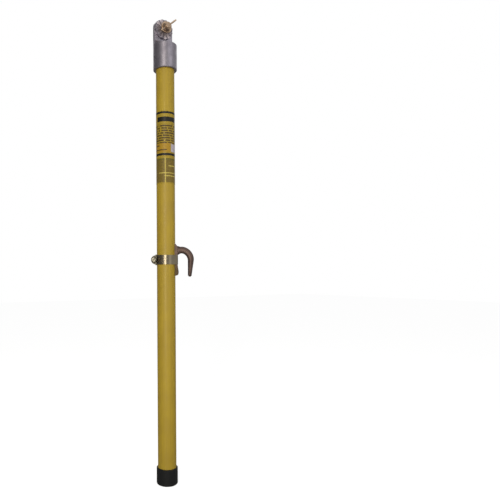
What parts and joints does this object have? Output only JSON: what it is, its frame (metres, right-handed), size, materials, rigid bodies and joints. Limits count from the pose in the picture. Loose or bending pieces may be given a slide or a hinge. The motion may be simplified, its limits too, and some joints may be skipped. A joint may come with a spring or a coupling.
{
  "type": "lineman hot stick",
  "caption": "Short insulating hot stick: foam-filled fibreglass pole, cast universal head with toothed ear and wing nut, clamped hanging hook, rubber butt cap.",
  "frame": {"origin": "on the pole's axis, at the bottom face of the butt cap", "axes": "+Z along the pole towards the head; the head's stud and rosette face -Y; the hanging hook stands out at 28 degrees from +X towards -Y"},
  "size_m": [0.0706, 0.0453, 0.7974],
  "materials": {
    "pole_fibreglass": "yellow gel coat over wound glass, semi-gloss",
    "foam": "rigid closed-cell foam",
    "seal": "cast plug",
    "cap_rubber": "moulded black rubber",
    "cast_aluminium": "as-cast, lightly tumbled",
    "epoxy": "cured epoxy",
    "pin_steel": "plain steel",
    "stud_bronze": "silicon bronze, dulled",
    "nut_brass": "cast brass, worn",
    "label_film_upper": null,
    "label_film_lower": null,
    "band_steel": "rolled stainless",
    "screw_steel": "zinc plated",
    "hook_bronze": "cast bronze, brown patina"
  },
  "bodies": {
    "pole": {"pole_tube": "pole_fibreglass", "foam_core": "foam", "top_end_seal": "seal", "bottom_end_seal": "seal", "butt_cap": "cap_rubber", "head_casting": "cast_aluminium", "head_bond": "epoxy", "head_cross_pin": "pin_steel", "head_stud": "stud_bronze", "stud_lock_washer": "pin_steel", "nut_stop_ring": "stud_bronze", "label_upper": "label_film_upper", "label_lower": "label_film_lower"},
    "washer": {"tool_washer": "nut_brass"},
    "wing_nut": {"wing_nut": "nut_brass"},
    "hook_clamp": {"clamp_band": "band_steel", "clamp_housing": "band_steel", "clamp_saddle": "band_steel", "hanger_hook": "hook_bronze"},
    "clamp_screw": {"clamp_screw": "screw_steel"}
  },
  "joints": [
    {"name": "washer_travel", "type": "slide", "parent": "pole", "child": "washer", "axis": [0, 1, 0], "range_m": [0, 0.0057]},
    {"name": "wing_nut_spin", "type": "hinge", "parent": "washer", "child": "wing_nut", "pos_m": [0, -0.0095, 0.7799], "axis": [0, 1, 0], "range_deg": [0, 1290]},
    {"name": "hook_clamp_slide", "type": "slide", "parent": "pole", "child": "hook_clamp", "axis": [0, 0, 1], "range_m": [-0.3, 0.09]},
    {"name": "clamp_screw_turn", "type": "hinge", "parent": "hook_clamp", "child": "clamp_screw", "pos_m": [-0.01808, 0.00961, 0.383], "axis": [-0.4695, -0.8829, 0], "range_deg": [0, 1440]}
  ],
  "couplings": [
    {"joint": "washer_travel", "follows": "wing_nut_spin", "m_per_rad": 0.00025266}
  ]
}
